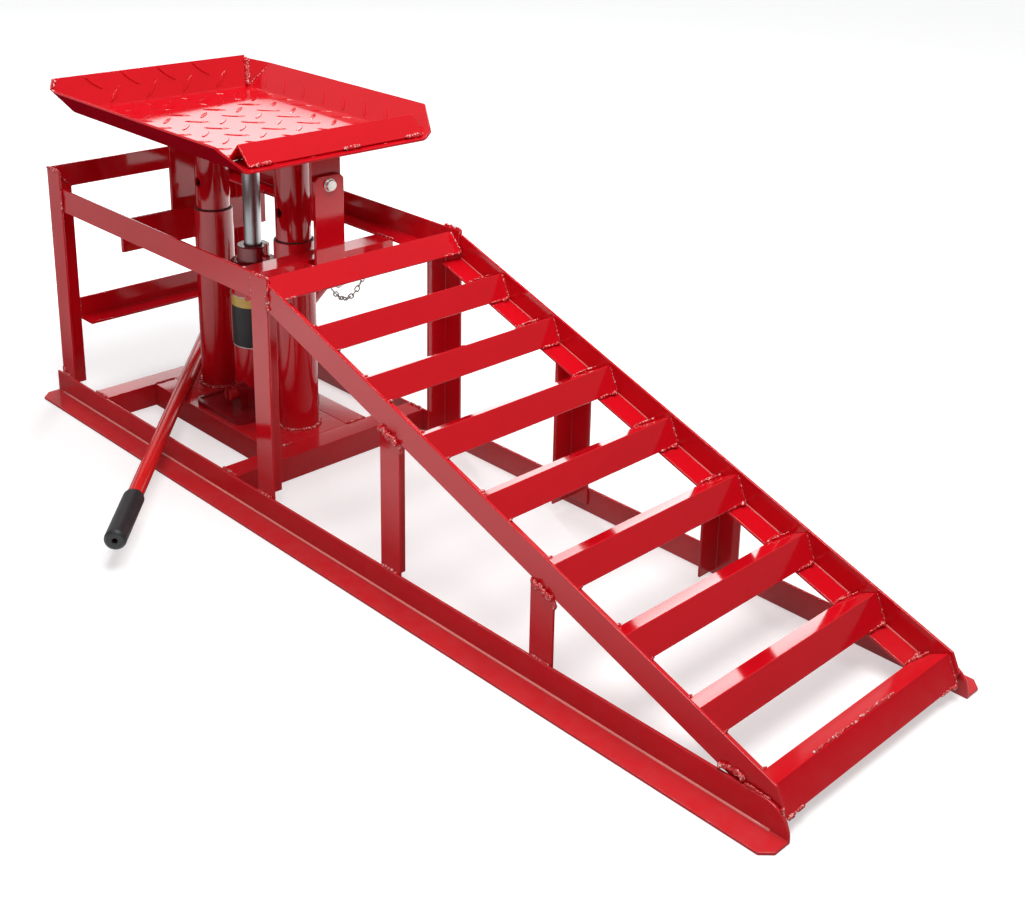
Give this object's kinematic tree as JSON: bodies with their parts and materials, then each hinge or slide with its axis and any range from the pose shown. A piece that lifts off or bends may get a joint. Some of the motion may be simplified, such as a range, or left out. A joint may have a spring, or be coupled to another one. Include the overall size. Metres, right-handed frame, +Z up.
{
  "type": "vehicle_ramp_jack",
  "caption": "Red angle-iron car ramp with a bottle jack that raises its tread-plate wheel tray, with lock pin, pump lever and loose handle",
  "frame": {"origin": "On the floor, mid-width, under the front cross rail of the jack's base", "axes": "+X up the middle of the ramp towards its toe, +Y to the far side (the pump's side), +Z up"},
  "size_m": [1.201, 0.4948, 0.4304],
  "materials": {
    "red_paint": "gloss",
    "zinc_steel": "satin",
    "black_casting": "satin",
    "jack_paint": "gloss",
    "bare_steel": "satin",
    "bright_steel": "polished",
    "handle_paint": "gloss",
    "black_rubber": "matt"
  },
  "bodies": {
    "frame": {"base_angle_far": "red_paint", "base_angle_near": "red_paint", "base_plate": "red_paint", "base_rail_far": "red_paint", "base_rail_near": "red_paint", "filler_plug": "zinc_steel", "front_base_rail": "red_paint", "front_post_far": "red_paint", "front_post_near": "red_paint", "fulcrum_pins": "zinc_steel", "fulcrum_plates": "jack_paint", "guide_tube_front": "red_paint", "guide_tube_rear": "red_paint", "head_nut": "jack_paint", "jack_base": "black_casting", "lock_chain": "zinc_steel", "lock_keeper": "red_paint", "middle_post_far": "red_paint", "middle_post_near": "red_paint", "pressure_cylinder": "bare_steel", "pump_barrel": "bare_steel", "rear_band": "red_paint", "rear_base_rail": "red_paint", "rear_middle_rail": "red_paint", "rear_post_far": "red_paint", "rear_post_near": "red_paint", "rear_top_rail": "red_paint", "reservoir": "jack_paint", "rung_1": "red_paint", "rung_2": "red_paint", "rung_3": "red_paint", "rung_4": "red_paint", "rung_5": "red_paint", "rung_6": "red_paint", "rung_7": "red_paint", "rung_8": "red_paint", "side_rail_far": "red_paint", "side_rail_near": "red_paint", "stringer_far": "red_paint", "stringer_near": "red_paint", "toe_bar": "red_paint", "toe_post_far": "red_paint", "toe_post_near": "red_paint", "upper_cross_angle": "red_paint"},
    "lock_pin": {"lock_pin": "zinc_steel"},
    "pump_lever": {"pump_lever": "jack_paint"},
    "pump_plunger": {"pump_plunger": "bright_steel"},
    "release_valve": {"release_valve": "zinc_steel"},
    "handle": {"handle_tube": "handle_paint", "handle_grip": "black_rubber"},
    "platform": {"platform_tray": "red_paint", "front_ridge": "red_paint", "platform_tube_rear": "red_paint", "platform_tube_front": "red_paint", "rear_strap": "red_paint", "lock_strap": "red_paint", "lock_link": "red_paint", "lock_bolt": "zinc_steel", "ram": "bright_steel"}
  },
  "joints": [
    {"name": "platform_lift", "type": "slide", "parent": "frame", "child": "platform", "axis": [0, 0, 1], "range_m": [-0.1, 0.01]},
    {"name": "lock_pin_slide", "type": "slide", "parent": "frame", "child": "lock_pin", "axis": [1, 0, 0], "range_m": [0, 0.025]},
    {"name": "lever_swing", "type": "hinge", "parent": "frame", "child": "pump_lever", "pos_m": [-0.1585, 0.06, 0.134], "axis": [1, 0, 0], "range_deg": [-25, 25]},
    {"name": "plunger_stroke", "type": "slide", "parent": "frame", "child": "pump_plunger", "axis": [0, 0, 1], "range_m": [-0.009, 0.009]},
    {"name": "valve_turn", "type": "hinge", "parent": "frame", "child": "release_valve", "pos_m": [-0.1505, -0.038, 0.055], "axis": [0, -1, 0], "range_deg": [-180, 0]},
    {"name": "handle_draw", "type": "slide", "parent": "frame", "child": "handle", "axis": [0.7536, -0.6574, 0], "range_m": [0, 0.25]}
  ],
  "couplings": [
    {"joint": "plunger_stroke", "follows": "lever_swing", "m_per_rad": -0.01875}
  ]
}
